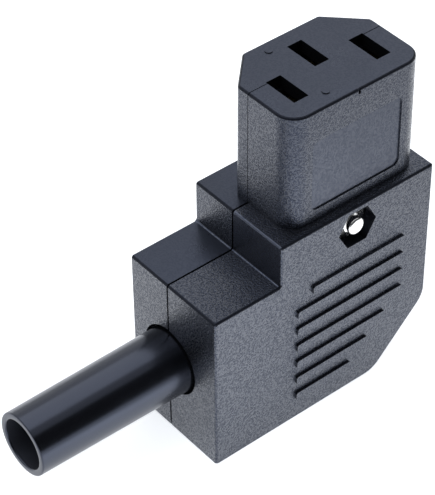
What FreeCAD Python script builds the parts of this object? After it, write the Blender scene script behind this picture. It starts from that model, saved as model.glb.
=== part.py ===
import FreeCAD, Part
import math
import os
import types

import Sketcher

# Right-angle rewirable connector with a three-slot nose.
# Frame in millimetres: +Z up along the nose, the cord leaves along -X, the ribbed face looks to -Y.
# The origin lies on the resting face, under the nose axis, on the parting plane of the two shells.

SIZES = {
    # Pins of the mating inlet and their slots
    "pin_pitch": 14.0,              # between the line and neutral pins
    "earth_offset": 4.0,            # earth pin behind the line of the other two
    "pin_thickness": 2.0,
    "pin_width": 4.0,
    "slot_side_play": 0.2,          # slot beyond the pin, each side
    "slot_end_play": 0.725,         # slot beyond the pin, each end
    "slot_over_seam": 0.35,         # line and neutral slots beyond the parting plane
    # Nose
    "nose_side": 4.4,               # outer pin axis to the side of the nose, at the mating face
    "nose_before_slots": 3.15,      # line slot to the front of the nose
    "nose_behind_slot": 2.75,       # earth slot to the back of the nose
    "nose_length": 18.1,
    "nose_flare": 0.05,             # growth of each side from the mating face to the root
    "nose_corner": 3.0,             # radius of the front corners
    "nose_bevel": 5.0,              # cut of the rear corners
    "bevel_round": 0.9,
    "face_wall": 2.0,
    "panel_side": 0.75,             # bare panel inside the rounded corners
    "panel_below_face": 4.9,
    "panel_over_shoulder": 1.9,
    "panel_sink": 0.2,
    "panel_corner": 1.0,
    "nose_seam_gap": 0.12,          # finer shadow line up the nose
    "nose_seam_depth": 0.2,
    "mark_diameter": 1.1,           # ejector mark of each shell on the mating face
    "mark_rise": 0.12,
    "mark_left": 3.6,
    "mark_from_front": 2.4,
    "mark_from_rear": 1.9,
    "gate_width": 0.4,              # moulding gate on the front rim of the mating face
    "gate_drop": 0.8,
    "gate_sink": 0.3,
    # Housing
    "ledge_front": 1.4,             # shoulder left free round the nose
    "ledge_rear": 0.9,
    "ledge_left": 2.5,
    "ledge_right": 1.6,
    "step_rise": 6.7,               # from the lower deck up to the shoulder
    "tail_length": 11.1,            # lower deck from the step to the cord end
    "corner_cut": 9.25,             # 45 degree cut under the nose
    "corner_round": 4.0,
    "edge_break": 0.3,              # narrow chamfer of the outer edges
    "wall": 1.8,
    "seam_gap": 0.3,                # shadow line along the parting plane
    "seam_depth": 0.4,
    # Grip ribs
    "rib_pitch": 3.05,
    "rib_height": 1.35,
    "rib_stand": 0.38,
    "rib_below_deck": 3.0,          # first rib under the lower deck
    "rib_over_base": 3.7,           # free height under the last rib
    "rib_from_step": 2.9,           # left ends, from the step
    "rib_first_setback": 2.6,       # the first rib starts further in
    "rib_from_right": 4.9,
    "rib_over_cut": 5.0,            # ribs under this height over the corner cut get shorter
    # Closing screw and nut
    "screw_left": 0.6,              # screw axis beside the nose axis
    "screw_below_shoulder": 3.7,
    "screw_diameter": 3.0,
    "screw_clearance": 0.15,
    "thread_clearance": 0.05,
    "screw_tip_sink": 0.05,
    "screw_tip_chamfer": 0.25,
    "head_diameter": 5.6,
    "head_height": 2.0,
    "head_sink": 2.3,
    "head_clearance": 0.3,
    "head_seat": 2.0,               # wall under the screw head
    "nut_flats": 5.5,
    "nut_height": 2.4,
    "nut_sink": 1.8,
    "nut_clearance": 0.1,
    "boss_wall": 1.0,
    # Cord guard
    "guard_bore": 7.3,
    "guard_wall": 1.0,              # at the free end
    "guard_taper": 0.225,           # growth of the radius up to the housing
    "guard_reach": 24.4,
    "guard_rim": 0.2,               # chamfer of the free end
    "flange_step": 1.3,
    "flange_width": 2.0,
    "flange_clearance": 0.1,
    "exit_clearance": 0.45,
    "seat_wall": 1.2,               # seat round the flange
    "retainer_width": 1.5,          # wall behind the flange
    "retainer_lip": 0.5,            # its opening beyond the bore
    # Cord clamp
    "clamp_gap": 1.6,               # clamp behind the retaining wall
    "clamp_width": 5.0,
    "clamp_foot": 2.2,
    "clamp_arch": 1.6,
    "clamp_end": 2.5,               # foot beyond the screw axis
    "clamp_clearance": 0.4,
    "clamp_room_below": 1.0,        # free height under the clamp
    "clamp_room_above": 1.4,
    "cord_clearance": 0.05,
    "saddle_drop": 1.5,
    "clamp_boss": 5.0,
    "clamp_screw": 2.9,
    "clamp_screw_length": 9.0,
    "clamp_head": 4.8,
    "clamp_head_height": 1.8,
    # Contacts
    "contact_sheet": 0.8,
    "leaf_sheet": 0.6,
    "leaf_below_face": 3.2,
    "leaf_over_shoulder": 3.4,
    "leaf_room": 0.4,               # leaf beside the pin at its root
    "leaf_pinch": 0.2,              # leaf inside the pin's side where it grips
    "leaf_mouth": 0.5,              # leaf beside the pin at its mouth
    "leaf_pinch_drop": 3.0,         # grip under the mouth
    "leaf_spring": 1.5,             # from the web's top up to the grip
    "leaf_inset": 0.15,             # leaves inside the pin's edges
    "tail_width": 2.6,
    "pocket_clearance": 0.3,
    # Terminals
    "terminal_gap": 0.3,            # free height over and under a terminal
    "terminal_width": 5.6,
    "terminal_height": 7.0,
    "earth_tail_gap": 0.4,          # earth tail beside the closing screw
    "earth_tail_width": 2.6,
    "earth_tail_level": 1.0,        # underside of the earth terminal behind the parting plane
    "earth_arm": 2.4,
    "clamp_plate": 5.2,
    "clamp_plate_sheet": 0.7,
    "terminal_screw": 3.0,
    "terminal_screw_length": 4.4,
    "terminal_head": 5.0,
    "terminal_head_height": 1.8,
    "tip_room": 0.2,                # free room round and under a screw tip
    "barrier": 1.0,                 # wall between the terminals
    "barrier_drop": 0.6,
    # Locating pegs
    "peg_inset": 3.3,
    "peg_diameter": 2.2,
    "peg_length": 2.0,
    "peg_clearance": 0.1,
    "peg_boss": 4.2,
    # Cross recess of every screw
    "recess_width": 0.9,
    "recess_span": 3.0,
    "recess_depth": 1.1,
    "head_round": 0.7,
}

# Planes of a body, each with the sign of its normal along the axis that it faces
XY = ("XY_Plane", 1)
XZ = ("XZ_Plane", -1)
YZ = ("YZ_Plane", 1)
UP = RIGHT = REARWARD = 1
DOWN = FORWARD = -1

# Places in a sketch: its origin, and the points of a line or circle
ORIGIN = -1
START = 1
END = 2
CENTRE = 3

DIAGONAL = math.sqrt(2.0) - 1.0     # how far an inset moves the ends of a 45 degree side
HEX_CORNER = 1.0 / math.sqrt(3.0)   # corner radius of a hexagon of unit flats
ARC_MIDDLE = 1.0 - math.sqrt(0.5)   # middle of a unit quarter round, from both its sides
NEAR = 1e-4

# Turns: local +Y up, local +Z to the rear, and half round
STANDING = FreeCAD.Rotation(FreeCAD.Vector(1, 0, 0), 90)
FACING_REAR = FreeCAD.Rotation(FreeCAD.Vector(1, 0, 0), -90)
HALF_TURN = FreeCAD.Rotation(FreeCAD.Vector(0, 0, 1), 180)


class Size:
    """A length that holds its number and the sheet expression that gives it."""

    def __init__(self, number, text):
        self.number = number
        self.text = text

    def paired(self, sign, other, number):
        return Size(number, f"({self.text} {sign} {other.text})")

    def __add__(self, other):
        other = as_size(other)
        return self.paired("+", other, self.number + other.number)

    def __sub__(self, other):
        other = as_size(other)
        return self.paired("-", other, self.number - other.number)

    def __mul__(self, other):
        other = as_size(other)
        return self.paired("*", other, self.number * other.number)

    def __truediv__(self, other):
        other = as_size(other)
        return self.paired("/", other, self.number / other.number)

    def __radd__(self, other):
        return as_size(other) + self

    def __rsub__(self, other):
        return as_size(other) - self

    def __rmul__(self, other):
        return as_size(other) * self

    def __neg__(self):
        return as_size(0) - self


def as_size(value):
    if isinstance(value, Size):
        return value
    return Size(float(value), repr(value))


doc = FreeCAD.newDocument("connector")
sheet = doc.addObject("Spreadsheet::Sheet", "sizes")
for row, (alias, number) in enumerate(SIZES.items(), 1):
    sheet.set(f"A{row}", alias.replace("_", " "))
    sheet.set(f"B{row}", str(number))
    sheet.setAlias(f"B{row}", alias)
doc.recompute()

S = types.SimpleNamespace(**{alias: Size(number, f"sizes.{alias}") for alias, number in SIZES.items()})


class Drawing:
    """A sketch on one of a body's own planes, at a level along the axis that the plane faces."""

    def __init__(self, body, name, plane, level):
        role, self.normal = plane
        self.sketch = body.newObject("Sketcher::SketchObject", name + "_sketch")
        support = next(item for item in body.Origin.OriginFeatures if item.Role == role)
        self.sketch.AttachmentSupport = (support, "")
        self.sketch.MapMode = "FlatFace"
        offset = as_size(level) * self.normal
        self.sketch.setExpression("AttachmentOffset.Base.z", offset.text)

    def tie(self, dimensions):
        """Add dimensions, each a kind, the places it holds and its size, bound to the sheet."""
        first = self.sketch.ConstraintCount
        self.sketch.addConstraint([
            Sketcher.Constraint(kind, *places, size.number) for kind, places, size in dimensions
        ])
        for index, (_, _, size) in enumerate(dimensions, first):
            self.sketch.setExpression(f"Constraints[{index}]", size.text)

    def polygon(self, points):
        points = [(as_size(across), as_size(up)) for across, up in points]
        first = self.sketch.GeometryCount
        count = len(points)
        corners = [FreeCAD.Vector(across.number, up.number, 0) for across, up in points]
        sides = [Part.LineSegment(corners[index - 1], corners[index]) for index in range(count)]
        self.sketch.addGeometry(sides, False)
        self.sketch.addConstraint([
            Sketcher.Constraint("Coincident", first + index, END, first + (index + 1) % count, START)
            for index in range(count)
        ])
        dimensions = []
        for side, (across, up) in enumerate(points, first):
            dimensions.append(("DistanceX", (ORIGIN, START, side, END), across))
            dimensions.append(("DistanceY", (ORIGIN, START, side, END), up))
        self.tie(dimensions)
        return self

    def rectangle(self, left, right, low, high):
        return self.polygon([(left, low), (right, low), (right, high), (left, high)])

    def circle(self, across, up, radius):
        across, up, radius = as_size(across), as_size(up), as_size(radius)
        centre = FreeCAD.Vector(across.number, up.number, 0)
        upright = FreeCAD.Vector(0, 0, 1)
        index = self.sketch.addGeometry(Part.Circle(centre, upright, radius.number), False)
        self.tie([
            ("DistanceX", (ORIGIN, START, index, CENTRE), across),
            ("DistanceY", (ORIGIN, START, index, CENTRE), up),
            ("Radius", (index,), radius),
        ])
        return self


class Piece:
    """One moulded, turned or folded piece, made feature by feature in its own body."""

    def __init__(self, label):
        self.body = doc.addObject("PartDesign::Body", label)
        self.body.Label = label

    def draw(self, name, plane, level=0):
        return Drawing(self.body, name, plane, level)

    def feature(self, kind, name, drawing, length, backwards):
        made = self.body.newObject("PartDesign::" + kind, name)
        made.Profile = drawing.sketch
        made.setExpression("Length", as_size(length).text)
        made.Reversed = backwards
        doc.recompute()
        return made

    def add(self, name, drawing, length, toward):
        return self.feature("Pad", name, drawing, length, toward != drawing.normal)

    def cut(self, name, drawing, length, toward, may_miss=False):
        before = self.body.Shape.Volume
        made = self.feature("Pocket", name, drawing, length, toward == drawing.normal)
        if self.body.Shape.Volume >= before and not may_miss:
            raise RuntimeError(f"{self.body.Label}: {name} cuts nothing")
        return made

    def taper(self, name, low, high, half, depth, growth, toward):
        """Add a block that stands on the parting plane and grows on its other sides down to its foot."""
        made = self.body.newObject("PartDesign::AdditiveWedge", name)
        base = next(item for item in self.body.Origin.OriginFeatures if item.Role == "XY_Plane")
        made.AttachmentSupport = (base, "")
        made.MapMode = "FlatFace"
        made.AttachmentOffset = FreeCAD.Placement(FreeCAD.Vector(0, 0, 0), STANDING)
        limits = {
            "X": (-(half + growth), half + growth),
            "X2": (-half, half),
            "Y": (low, high),
            "Z": sorted((as_size(0), (depth + growth) * -toward), key=lambda size: size.number),
            "Z2": sorted((as_size(0), depth * -toward), key=lambda size: size.number),
        }
        for axis, (least, most) in limits.items():
            made.setExpression(axis + "min", least.text)
            made.setExpression(axis + "max", most.text)
        doc.recompute()
        return made

    def revolve(self, name, drawing, axis="H_Axis", kind="Revolution"):
        made = self.body.newObject("PartDesign::" + kind, name)
        made.Profile = drawing.sketch
        made.ReferenceAxis = (drawing.sketch, [axis])
        made.Angle = 360
        doc.recompute()
        return made

    def soften(self, name, radius, chosen, kind="Fillet"):
        """Round or chamfer the edges that the test picks."""
        base = self.body.Tip
        edges = [f"Edge{number}" for number, edge in enumerate(base.Shape.Edges, 1) if chosen(edge)]
        if not edges:
            raise RuntimeError(f"{self.body.Label}: {name} finds no edge")
        made = self.body.newObject("PartDesign::" + kind, name)
        made.Base = (base, edges)
        made.setExpression("Radius" if kind == "Fillet" else "Size", as_size(radius).text)
        doc.recompute()
        return made

    def put(self, across, deep, up, turn=None):
        """Place the finished body, turned first where asked."""
        if turn:
            self.body.Placement = FreeCAD.Placement(FreeCAD.Vector(0, 0, 0), turn)
        for axis, value in zip("xyz", (across, deep, up)):
            self.body.setExpression("Placement.Base." + axis, as_size(value).text)
        doc.recompute()
        return self.body


def lies_at(edge, axis, size):
    """Whether a whole edge lies in the plane at this level of an axis."""
    box = edge.BoundBox
    low = getattr(box, axis.upper() + "Min")
    high = getattr(box, axis.upper() + "Max")
    return abs(low - size.number) < NEAR and abs(high - size.number) < NEAR


def runs_at(edge, across, up):
    """Whether an edge runs along Y through this point of the XZ plane."""
    return lies_at(edge, "x", as_size(across)) and lies_at(edge, "z", as_size(up))


# Pins, slots and nose
slot_width = S.pin_thickness + S.slot_side_play * 2
slot_length = S.pin_width + S.slot_end_play * 2
line_x = S.pin_pitch / 2
line_y = S.slot_over_seam - slot_length / 2
earth_y = line_y + S.earth_offset
pin_places = ((-line_x, line_y), (line_x, line_y), (as_size(0), earth_y))
nose_half = line_x + S.nose_side
nose_front = slot_length - S.slot_over_seam + S.nose_before_slots
nose_rear = earth_y + slot_length / 2 + S.nose_behind_slot

# Cord way, whose clamp sets the height of the housing
bore_radius = S.guard_bore / 2
tip_radius = bore_radius + S.guard_wall
root_radius = tip_radius + S.guard_taper
flange_radius = root_radius + S.flange_step
flange_groove = flange_radius + S.flange_clearance
seat_half = flange_groove + S.seat_wall
cord_radius = bore_radius + S.cord_clearance
arch_radius = cord_radius + S.clamp_arch
clamp_half = arch_radius + S.clamp_head / 2
clamp_reach = clamp_half + S.clamp_end
cord_z = S.wall + S.clamp_room_below + clamp_reach

# Housing
lower_deck = cord_z + clamp_reach + S.clamp_room_above + S.wall
shoulder_top = lower_deck + S.step_rise
nose_top = shoulder_top + S.nose_length
nose_root = shoulder_top - S.wall
right_face = nose_half + S.ledge_right
step_face = -(nose_half + S.ledge_left)
cord_end = step_face - S.tail_length
front_depth = nose_front + S.ledge_front
rear_depth = nose_rear + S.ledge_rear
front_floor = front_depth - S.wall
rear_floor = rear_depth - S.wall
cut_left = right_face - S.corner_cut

# Guard and clamp along the cord
inner_end = cord_end + S.wall
flange_end = inner_end + S.flange_width
groove_end = flange_end + S.flange_clearance
retainer_end = groove_end + S.retainer_width
clamp_left = retainer_end + S.clamp_gap
clamp_x = clamp_left + S.clamp_width / 2
clamp_right = clamp_left + S.clamp_width
clamp_heights = (cord_z - clamp_half, cord_z + clamp_half)

# Closing screw
screw_x = -S.screw_left
screw_z = shoulder_top - S.screw_below_shoulder
screw_hole = S.screw_diameter / 2 + S.screw_clearance
nut_pocket_flats = S.nut_flats + S.nut_clearance * 2
nut_pocket_corner = nut_pocket_flats * HEX_CORNER
nut_boss = nut_pocket_corner + S.boss_wall
head_level = rear_depth - S.head_sink

# Contacts
leaf_reach = S.pin_width / 2 - S.leaf_inset
web_face = S.pin_width / 2 + S.leaf_inset
web_back = web_face + S.contact_sheet
web_half = S.pin_thickness / 2 + S.leaf_room + S.leaf_sheet
pocket_half = web_half + S.pocket_clearance
pocket_top = nose_top - S.face_wall
leaf_top = nose_top - S.leaf_below_face
leaf_grip = leaf_top - S.leaf_pinch_drop
leaf_foot = shoulder_top + S.leaf_over_shoulder
web_top = leaf_grip - S.leaf_spring
arm_top = leaf_foot + S.earth_arm
line_seat = line_y - web_back
earth_seat = earth_y + web_back

# Terminals: across, up, and the level of the plate's underside
terminal_z = screw_z - nut_boss - S.terminal_gap - S.terminal_height / 2
earth_tail_left = screw_x + S.screw_diameter / 2 + S.earth_tail_gap
earth_tail_right = earth_tail_left + S.earth_tail_width
earth_x = earth_tail_left + S.earth_tail_width / 2
earth_z = terminal_z - S.terminal_height - S.terminal_gap
TERMINALS = {
    "line": (-line_x, terminal_z, line_seat),
    "neutral": (line_x, terminal_z, line_seat),
    "earth": (earth_x, earth_z, S.earth_tail_level),
}
terminal_stack = S.contact_sheet + S.clamp_plate_sheet
terminal_tip = S.terminal_screw_length - terminal_stack

PEGS = (
    (cord_end + S.peg_inset, S.peg_inset),
    (cord_end + S.peg_inset, lower_deck - S.peg_inset),
    (cut_left - S.peg_inset, S.peg_inset),
)


def housing_outline(inset):
    """Side outline of the housing, moved inwards by an inset."""
    inset = as_size(inset)
    return [
        (cord_end + inset, inset),
        (cut_left - inset * DIAGONAL, inset),
        (right_face - inset, S.corner_cut + inset * DIAGONAL),
        (right_face - inset, shoulder_top - inset),
        (step_face + inset, shoulder_top - inset),
        (step_face + inset, lower_deck - inset),
        (cord_end + inset, lower_deck - inset),
    ]


def soften_block(shell, face):
    """Round the ends of the corner cut and break the outer edges of a block with this outer face."""
    cut_ends = ((cut_left, 0), (right_face, S.corner_cut))
    sharp = (
        (cord_end, 0),
        (right_face, shoulder_top),
        (step_face, shoulder_top),
        (step_face, lower_deck),
        (cord_end, lower_deck),
    )
    shell.soften("cut_corners", S.corner_round, lambda edge: any(runs_at(edge, *end) for end in cut_ends))
    shell.soften(
        "corner_edges", S.edge_break, lambda edge: any(runs_at(edge, *corner) for corner in sharp), "Chamfer"
    )
    shell.soften("face_edges", S.edge_break, lambda edge: lies_at(edge, "y", face), "Chamfer")


def soften_nose_rim(shell):
    """Break the outer edge of the mating face, leaving sharp what lies on the parting plane."""
    def on_rim(edge):
        box = edge.BoundBox
        return lies_at(edge, "z", nose_top) and max(-box.YMin, box.YMax) > NEAR

    shell.soften("nose_rim", S.edge_break, on_rim, "Chamfer")


def is_nose_corner(edge, beyond):
    """Whether an edge climbs the nose, further from the parting plane than this level."""
    box = edge.BoundBox
    climbs = box.ZMin > shoulder_top.number - NEAR and box.ZLength > S.nose_length.number / 2
    return climbs and min(abs(box.YMin), abs(box.YMax)) > beyond.number - NEAR


def cut_slots(shell):
    """Open the three pin slots in the mating face."""
    slots = shell.draw("slots", XY, nose_top)
    for across, deep in pin_places:
        slots.rectangle(
            across - slot_width / 2,
            across + slot_width / 2,
            deep - slot_length / 2,
            deep + slot_length / 2,
        )
    shell.cut("slots", slots, S.face_wall, DOWN)


def add_mark(shell, deep):
    """Raise a small ejector mark on the mating face."""
    mark = shell.draw("mark", XY, nose_top).circle(-S.mark_left, deep, S.mark_diameter / 2)
    shell.add("mark", mark, S.mark_rise, UP)


def add_ribs(shell, face, toward):
    """Raise the grip ribs on a shell's outer face, shortened along the corner cut."""
    ribs = shell.draw("ribs", XZ, face)
    room = lower_deck - S.rib_below_deck - S.rib_height - S.rib_over_base
    for index in range(int(room.number / S.rib_pitch.number) + 1):
        top = lower_deck - S.rib_below_deck - S.rib_pitch * index
        left = step_face + S.rib_from_step
        if index == 0:
            left = left + S.rib_first_setback
        right = right_face - S.rib_from_right
        shortening = S.corner_cut + S.rib_over_cut - top
        if shortening.number > 0:
            right = right - shortening
        ribs.rectangle(left, right, top - S.rib_height, top)
    shell.add("ribs", ribs, S.rib_stand, toward)


def make_guard_seat(shell, floor, toward):
    """Build a shell's half of the seat that holds the guard by its flange."""
    low = cord_z - seat_half
    high = cord_z + seat_half
    block = shell.draw("guard_seat", XZ).rectangle(cord_end + S.edge_break, retainer_end, low, high)
    shell.add("guard_seat", block, floor, toward)
    steps = (
        ("cord_exit", cord_end, S.wall, root_radius + S.exit_clearance),
        ("flange_groove", inner_end, S.flange_width + S.flange_clearance, flange_groove),
        ("cord_way", groove_end, S.retainer_width, bore_radius + S.retainer_lip),
    )
    for name, start, length, radius in steps:
        shell.cut(name, shell.draw(name, YZ, start).circle(0, cord_z, radius), length, RIGHT)


def make_front_shell():
    """Front half: ribbed face, bare panel on the nose, nut pocket, terminals and clamp posts."""
    shell = Piece("front_shell")
    shell.add("block", shell.draw("block", XZ).polygon(housing_outline(0)), front_depth, FORWARD)
    soften_block(shell, -front_depth)

    shell.taper("nose", nose_root, nose_top, nose_half, nose_front, S.nose_flare, FORWARD)
    shell.soften("nose_corners", S.nose_corner, lambda edge: is_nose_corner(edge, nose_front))
    soften_nose_rim(shell)

    shell.cut("cavity", shell.draw("cavity", XZ).polygon(housing_outline(S.wall)), front_floor, FORWARD)
    for name, across in (("line", -line_x), ("neutral", line_x)):
        pocket = shell.draw(name + "_pocket", XZ)
        pocket.rectangle(across - pocket_half, across + pocket_half, nose_root - S.wall, pocket_top)
        shell.cut(name + "_pocket", pocket, -line_seat, FORWARD)
    pocket = shell.draw("earth_pocket", XZ)
    pocket.rectangle(-pocket_half, pocket_half, nose_root - S.wall, pocket_top)
    shell.cut("earth_pocket", pocket, slot_length / 2 - earth_y + S.pocket_clearance, FORWARD)
    cut_slots(shell)

    boss = shell.draw("nut_boss", XZ).circle(screw_x, screw_z, nut_boss)
    shell.add("nut_boss", boss, front_floor, FORWARD)
    corner = nut_pocket_corner
    flat = nut_pocket_flats / 2
    hexagon = shell.draw("nut_pocket", XZ, -front_depth).polygon([
        (screw_x + corner, screw_z),
        (screw_x + corner / 2, screw_z + flat),
        (screw_x - corner / 2, screw_z + flat),
        (screw_x - corner, screw_z),
        (screw_x - corner / 2, screw_z - flat),
        (screw_x + corner / 2, screw_z - flat),
    ])
    shell.cut("nut_pocket", hexagon, S.nut_sink + S.nut_height, REARWARD)
    hole = shell.draw("screw_hole", XZ).circle(screw_x, screw_z, screw_hole)
    shell.cut("screw_hole", hole, front_depth, FORWARD)

    for name, (across, up, level) in TERMINALS.items():
        block = shell.draw(name + "_block", XZ, level).rectangle(
            across - S.terminal_width / 2,
            across + S.terminal_width / 2,
            up - S.terminal_height / 2,
            up + S.terminal_height / 2,
        )
        shell.add(name + "_block", block, level + front_floor, FORWARD)
        tip = shell.draw(name + "_tip", XZ, level).circle(across, up, S.terminal_screw / 2 + S.tip_room)
        shell.cut(name + "_tip", tip, terminal_tip + S.tip_room, FORWARD)

    middle = (earth_x - line_x) / 2
    wall = shell.draw("barrier", XZ, -S.barrier_drop).rectangle(
        middle - S.barrier / 2, middle + S.barrier / 2, earth_z, screw_z - nut_pocket_corner
    )
    shell.add("barrier", wall, front_floor - S.barrier_drop, FORWARD)

    saddle = shell.draw("saddle", XZ, -S.saddle_drop).rectangle(clamp_left, clamp_right, *clamp_heights)
    shell.add("saddle", saddle, front_floor - S.saddle_drop, FORWARD)
    way = shell.draw("saddle_way", YZ, clamp_left).circle(0, cord_z, cord_radius)
    shell.cut("saddle_way", way, S.clamp_width, RIGHT)
    for name, up in zip(("lower_post", "upper_post"), clamp_heights):
        post = shell.draw(name, XZ).circle(clamp_x, up, S.clamp_boss / 2)
        shell.add(name, post, front_floor, FORWARD)
        hole = shell.draw(name + "_hole", XZ).circle(clamp_x, up, S.clamp_screw / 2 + S.thread_clearance)
        shell.cut(name + "_hole", hole, S.clamp_screw_length - S.clamp_foot + S.tip_room, FORWARD)

    posts = shell.draw("peg_posts", XZ)
    pegs = shell.draw("pegs", XZ)
    for across, up in PEGS:
        posts.circle(across, up, S.peg_boss / 2)
        pegs.circle(across, up, S.peg_diameter / 2)
    shell.add("peg_posts", posts, front_floor, FORWARD)
    shell.add("pegs", pegs, S.peg_length, REARWARD)
    make_guard_seat(shell, front_floor, FORWARD)

    add_ribs(shell, -front_depth, FORWARD)
    cut_panel(shell)
    add_mark(shell, S.mark_from_front - nose_front)
    gate = shell.draw("gate", XY, nose_top)
    gate.rectangle(-S.gate_width / 2, S.gate_width / 2, -nose_front - S.edge_break, S.gate_sink - nose_front)
    shell.cut("gate", gate, S.gate_drop, DOWN)
    return shell


def cut_panel(shell):
    """Sink the bare panel into the sloping front of the nose."""
    slope = S.nose_flare / (nose_top - nose_root)
    panel = shell.draw("panel", XZ, -nose_front)
    panel.sketch.AttachmentOffset = FreeCAD.Placement(
        FreeCAD.Vector(0, nose_top.number, nose_front.number),
        FreeCAD.Rotation(FreeCAD.Vector(-1, 0, 0), math.degrees(math.atan(slope.number))),
    )
    panel.sketch.setExpression("AttachmentOffset.Base.y", nose_top.text)
    panel.sketch.setExpression("AttachmentOffset.Rotation.Angle", f"atan({slope.text})")
    half = nose_half - S.nose_corner - S.panel_side
    panel.rectangle(-half, half, S.panel_over_shoulder - S.nose_length, -S.panel_below_face)
    shell.cut("panel", panel, S.panel_sink, REARWARD)

    def is_panel_corner(edge):
        box = edge.BoundBox
        across = max(abs(box.XMin), abs(box.XMax))
        on_side = box.XLength < NEAR and abs(across - half.number) < NEAR
        on_front = box.YMax < -nose_front.number / 2
        return on_side and on_front and edge.Length < S.panel_sink.number * 2

    shell.soften("panel_corners", S.panel_corner, is_panel_corner)


def cut_nose_seam(shell):
    """Carry the shadow line of the parting plane up the nose's sides and across its face to the slots."""
    inner = line_x + slot_width / 2
    foot = shoulder_top - S.seam_depth
    rim = nose_top - S.nose_seam_depth
    outside = nose_half + S.nose_flare
    seam = shell.draw("nose_seam", XZ)
    for side in (-1, 1):
        seam.polygon([
            (side * outside, foot),
            (side * outside, nose_top),
            (side * inner, nose_top),
            (side * inner, rim),
            (side * (nose_half - S.nose_seam_depth), rim),
            (side * (outside - S.nose_seam_depth), foot),
        ])
    shell.cut("nose_seam", seam, S.nose_seam_gap, REARWARD)


def make_rear_shell():
    """Rear half: bevelled nose, earth pocket, counterbored screw and the other half of each seat."""
    shell = Piece("rear_shell")
    block = shell.draw("block", XZ, S.seam_gap).polygon(housing_outline(0))
    shell.add("block", block, rear_depth - S.seam_gap, REARWARD)
    soften_block(shell, rear_depth)
    lip = shell.draw("seam_lip", XZ).polygon(housing_outline(S.seam_depth))
    shell.add("seam_lip", lip, S.seam_gap, REARWARD)

    shell.taper("nose", nose_root, nose_top, nose_half, nose_rear, S.nose_flare, REARWARD)
    shell.soften("nose_bevels", S.nose_bevel, lambda edge: is_nose_corner(edge, nose_rear), "Chamfer")
    beyond = nose_rear - S.nose_bevel
    shell.soften("bevel_corners", S.bevel_round, lambda edge: is_nose_corner(edge, beyond))
    soften_nose_rim(shell)

    shell.cut("cavity", shell.draw("cavity", XZ).polygon(housing_outline(S.wall)), rear_floor, REARWARD)
    pocket = shell.draw("earth_pocket", XZ)
    arm_room = earth_tail_right + S.pocket_clearance
    arm_roof = arm_top + S.pocket_clearance
    pocket.polygon([
        (-pocket_half, nose_root - S.wall),
        (arm_room, nose_root - S.wall),
        (arm_room, arm_roof),
        (pocket_half, arm_roof),
        (pocket_half, pocket_top),
        (-pocket_half, pocket_top),
    ])
    shell.cut("earth_pocket", pocket, earth_seat, REARWARD)
    cut_slots(shell)
    cut_nose_seam(shell)

    head_room = S.head_diameter / 2 + S.head_clearance
    boss = shell.draw("head_boss", XZ, rear_floor).circle(screw_x, screw_z, head_room + S.boss_wall)
    shell.add("head_boss", boss, rear_floor - head_level + S.head_seat, FORWARD)
    sink = shell.draw("counterbore", XZ, rear_depth).circle(screw_x, screw_z, head_room)
    shell.cut("counterbore", sink, S.head_sink, FORWARD)
    hole = shell.draw("screw_hole", XZ, rear_depth).circle(screw_x, screw_z, screw_hole)
    shell.cut("screw_hole", hole, S.head_sink + S.head_seat, FORWARD)

    posts = shell.draw("socket_posts", XZ)
    sockets = shell.draw("sockets", XZ)
    for across, up in PEGS:
        posts.circle(across, up, S.peg_boss / 2)
        sockets.circle(across, up, S.peg_diameter / 2 + S.peg_clearance)
    shell.add("socket_posts", posts, rear_floor, REARWARD)
    shell.cut("sockets", sockets, S.peg_length + S.tip_room, REARWARD)
    make_guard_seat(shell, rear_floor, REARWARD)
    relief = shell.draw("arch_relief", YZ, clamp_left - S.clamp_clearance)
    relief.circle(0, cord_z, arch_radius + S.clamp_clearance)
    # The relief bites only where the floor is shallower than the arch
    shell.cut("arch_relief", relief, S.clamp_width + S.clamp_clearance * 2, RIGHT, may_miss=True)

    add_ribs(shell, rear_depth, REARWARD)
    add_mark(shell, nose_rear - S.mark_from_rear)
    return shell


def make_contact(label, tail):
    """Folded female contact round a pin on the local Z axis, its web behind the pin at +Y."""
    contact = Piece(label)
    tail(contact)
    leaves = contact.draw("leaves", XZ, web_face)
    pin_side = S.pin_thickness / 2
    for side in (-1, 1):
        inner = [
            (pin_side + S.leaf_room, leaf_foot),
            (pin_side + S.leaf_room, web_top),
            (pin_side - S.leaf_pinch, leaf_grip),
            (pin_side + S.leaf_mouth, leaf_top),
        ]
        outer = [(gap + S.leaf_sheet, up) for gap, up in reversed(inner)]
        leaves.polygon([(gap * side, up) for gap, up in inner + outer])
    contact.add("leaves", leaves, leaf_reach + web_face, FORWARD)
    return contact


def straight_tail(contact):
    """Web, tail and terminal plate of a line or neutral contact, cut from one flat strip."""
    plate_low = terminal_z - S.terminal_height / 2
    plate_high = terminal_z + S.terminal_height / 2
    half_plate = S.terminal_width / 2
    half_tail = S.tail_width / 2
    right_side = [
        (half_plate, plate_low),
        (half_plate, plate_high),
        (half_tail, plate_high),
        (half_tail, leaf_foot),
        (web_half, leaf_foot),
        (web_half, web_top),
    ]
    left_side = [(-across, up) for across, up in reversed(right_side)]
    strip = contact.draw("strip", XZ, web_face).polygon(right_side + left_side)
    contact.add("strip", strip, S.contact_sheet, REARWARD)
    hole = contact.draw("hole", XZ, web_face)
    hole.circle(0, terminal_z, S.terminal_screw / 2 + S.thread_clearance)
    contact.cut("hole", hole, S.contact_sheet, REARWARD)


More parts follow.
